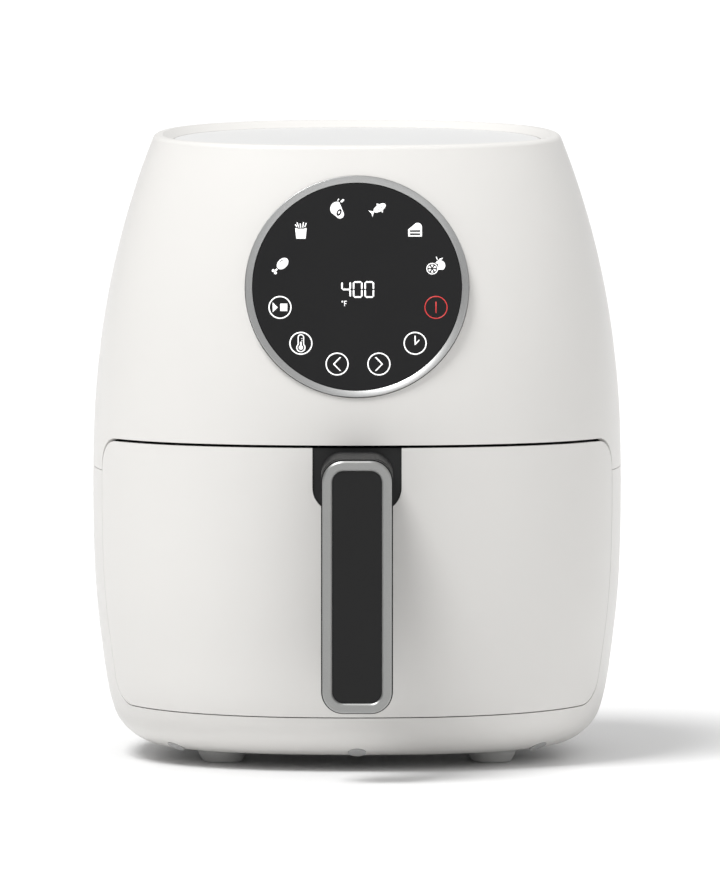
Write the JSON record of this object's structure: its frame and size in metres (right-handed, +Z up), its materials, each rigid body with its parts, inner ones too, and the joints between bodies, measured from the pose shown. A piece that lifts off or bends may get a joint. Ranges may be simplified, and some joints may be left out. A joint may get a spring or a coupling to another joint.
{
  "type": "air fryer",
  "caption": "Drawer air fryer with an egg-shaped white housing, a tilted round touch panel, a slide-out pan with a hanging handle, a crisper tray and a heater and fan above.",
  "frame": {"origin": "on the floor under the middle of the bounding box, handle included", "axes": "+Z up, front with panel and handle towards -Y, +X to the right seen from the front"},
  "size_m": [0.2693, 0.2966, 0.3172],
  "materials": {
    "white_shell": "satin moulded white",
    "white_drawer": "satin moulded white",
    "white_lid": "satin moulded white",
    "white_vent": "satin moulded white",
    "grey_base": "fine grained moulding",
    "foot_rubber": "matt",
    "grey_plug": "matt",
    "black_fitting": "fine grained moulding",
    "satin_silver": "satin silver",
    "handle_silver": "satin silver",
    "panel_black": "smooth black window",
    "handle_black": "smooth black",
    "grip_black": "soft black",
    "bracket_black": "soft black",
    "inner_black": "plain moulding",
    "bay_black": "plain moulding",
    "backing_black": "plain moulding",
    "circuit_board": "solder resist",
    "display_body": "matt black",
    "spring_steel": "bright spring wire",
    "screw_steel": "zinc plated",
    "liner_steel": "aluminised sheet",
    "reflector_steel": "aluminised sheet",
    "runner_plastic": "plain moulding",
    "heater_steel": "heat-tinted tube",
    "guard_steel": "bright wire",
    "fan_aluminium": "pressed sheet",
    "fan_plastic": "plain moulding",
    "shaft_steel": "ground",
    "motor_steel": "plain",
    "bracket_steel": "zinc plated sheet",
    "sensor_steel": "bright tube",
    "plunger_white": "plain moulding",
    "nonstick_pan": "non-stick coating",
    "nonstick_tray": "non-stick coating",
    "bumper_silicone": "soft silicone"
  },
  "bodies": {
    "housing": {"upper_housing": "white_shell", "lower_housing": "white_shell", "top_cover": "white_lid", "rear_vent": "white_vent", "base_plate": "grey_base", "foot_front_left": "foot_rubber", "foot_front_right": "foot_rubber", "foot_rear_left": "foot_rubber", "foot_rear_right": "foot_rubber", "keel_plugs": "grey_plug", "cord_gland": "black_fitting", "panel_bezel": "satin_silver", "panel_lens": "panel_black", "panel_carrier": "inner_black", "bay_frame": "bay_black", "control_board": "circuit_board", "display_module": "display_body", "touch_springs": "spring_steel", "panel_screws": "screw_steel", "base_screws": "screw_steel", "pan_liner": "liner_steel", "heat_reflector": "reflector_steel", "pan_runners": "runner_plastic", "heating_element": "heater_steel", "heater_guard": "guard_steel", "heater_clips": "guard_steel", "fan_motor": "motor_steel", "motor_bracket": "bracket_steel", "exhaust_duct": "bracket_steel", "temperature_sensor": "sensor_steel", "power_board": "circuit_board", "board_posts": "inner_black", "drawer_switch": "inner_black"},
    "drawer": {"drawer_front": "white_drawer", "drawer_backing": "backing_black", "handle_bracket": "bracket_black", "handle_body": "grip_black", "handle_frame": "handle_silver", "handle_insert": "handle_black", "handle_screws": "screw_steel", "pan": "nonstick_pan", "pan_bracket": "bracket_black"},
    "tray": {"crisper_tray": "nonstick_tray", "tray_bumpers": "bumper_silicone"},
    "fan": {"motor_shaft": "shaft_steel", "convection_fan": "fan_aluminium", "cooling_fan": "fan_plastic", "fan_nut": "screw_steel"},
    "plunger": {"switch_plunger": "plunger_white"}
  },
  "joints": [
    {"name": "drawer_slide", "type": "slide", "parent": "housing", "child": "drawer", "axis": [0, -1, 0], "range_m": [0, 0.21]},
    {"name": "tray_lift", "type": "slide", "parent": "drawer", "child": "tray", "axis": [0, 0, 1], "range_m": [0, 0.095]},
    {"name": "fan_spin", "type": "hinge", "parent": "housing", "child": "fan", "pos_m": [0, 0.00627, 0.2], "axis": [0, 0, 1], "continuous": true},
    {"name": "switch_travel", "type": "slide", "parent": "housing", "child": "plunger", "axis": [0, -1, 0], "range_m": [0, 0.0022]}
  ],
  "couplings": [
    {"joint": "switch_travel", "follows": "drawer_slide", "ratio": 0.01}
  ]
}
